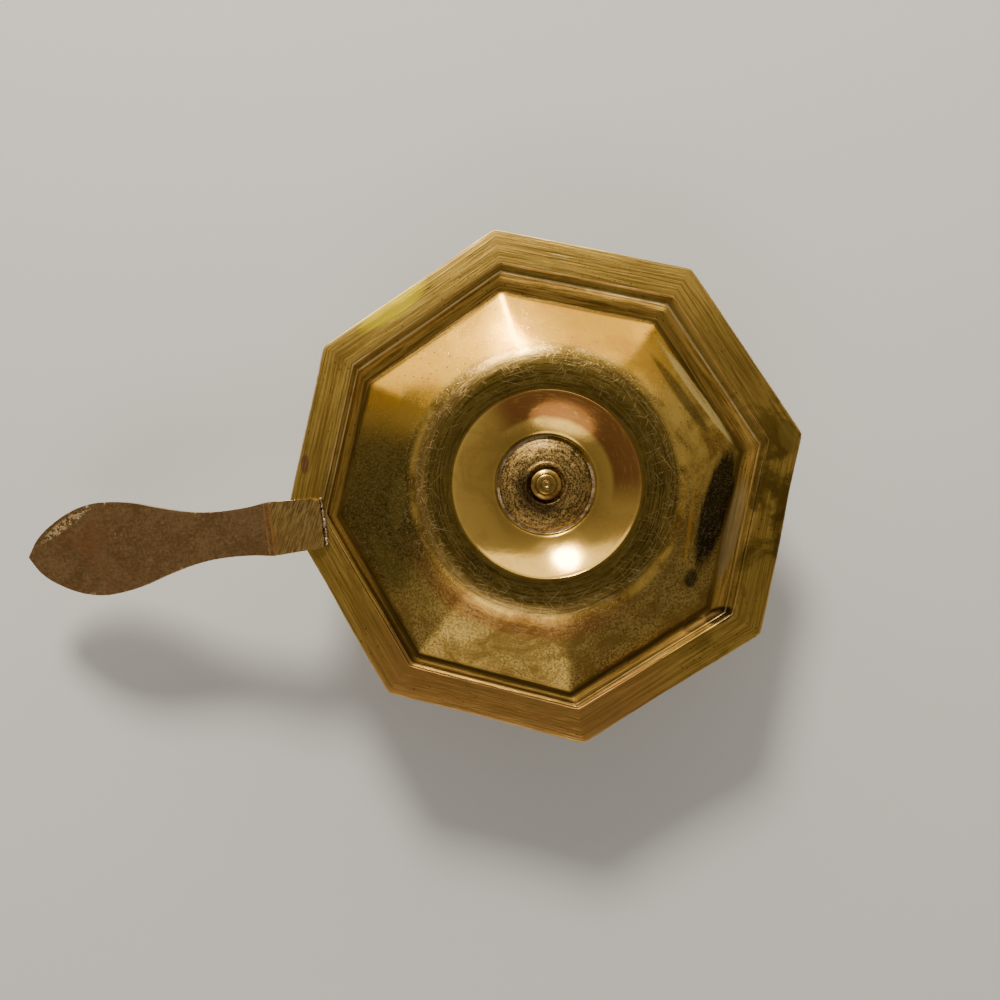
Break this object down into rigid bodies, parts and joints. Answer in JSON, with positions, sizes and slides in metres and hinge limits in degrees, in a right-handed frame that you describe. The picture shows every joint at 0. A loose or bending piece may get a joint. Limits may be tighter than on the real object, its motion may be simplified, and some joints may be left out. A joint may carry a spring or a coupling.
{
  "type": "chamber candlestick",
  "caption": "Octagonal brass hand candlestick with a screwed-in candle socket and a flat leaf-shaped handle on the rim, stored upside down on its socket.",
  "frame": {"origin": "on the candle bore's axis, in the plane of the socket's lip", "axes": "+Z runs from the lip through the pan and out of the foot ring, so the candle leaves towards -Z. -X runs along the handle."},
  "size_m": [0.2122, 0.1373, 0.0405],
  "materials": {
    "pan_brass": "aged, worn, tarnished golden-olive",
    "handle_brass": "dark brown patina, fine scratches",
    "disc_brass": "rough as cast",
    "socket_brass": "turned, tarnished",
    "solder": "dull grey soft solder"
  },
  "bodies": {
    "pan": {"pan": "pan_brass", "handle": "handle_brass", "handle_solder": "solder", "retaining_disc": "disc_brass", "disc_solder": "solder"},
    "socket": {"socket": "socket_brass"}
  },
  "joints": [
    {"name": "socket_unscrew", "type": "hinge", "parent": "pan", "child": "socket", "pos_m": [0, 0, 0.034], "axis": [0, 0, -1], "range_deg": [0, 1350]}
  ]
}
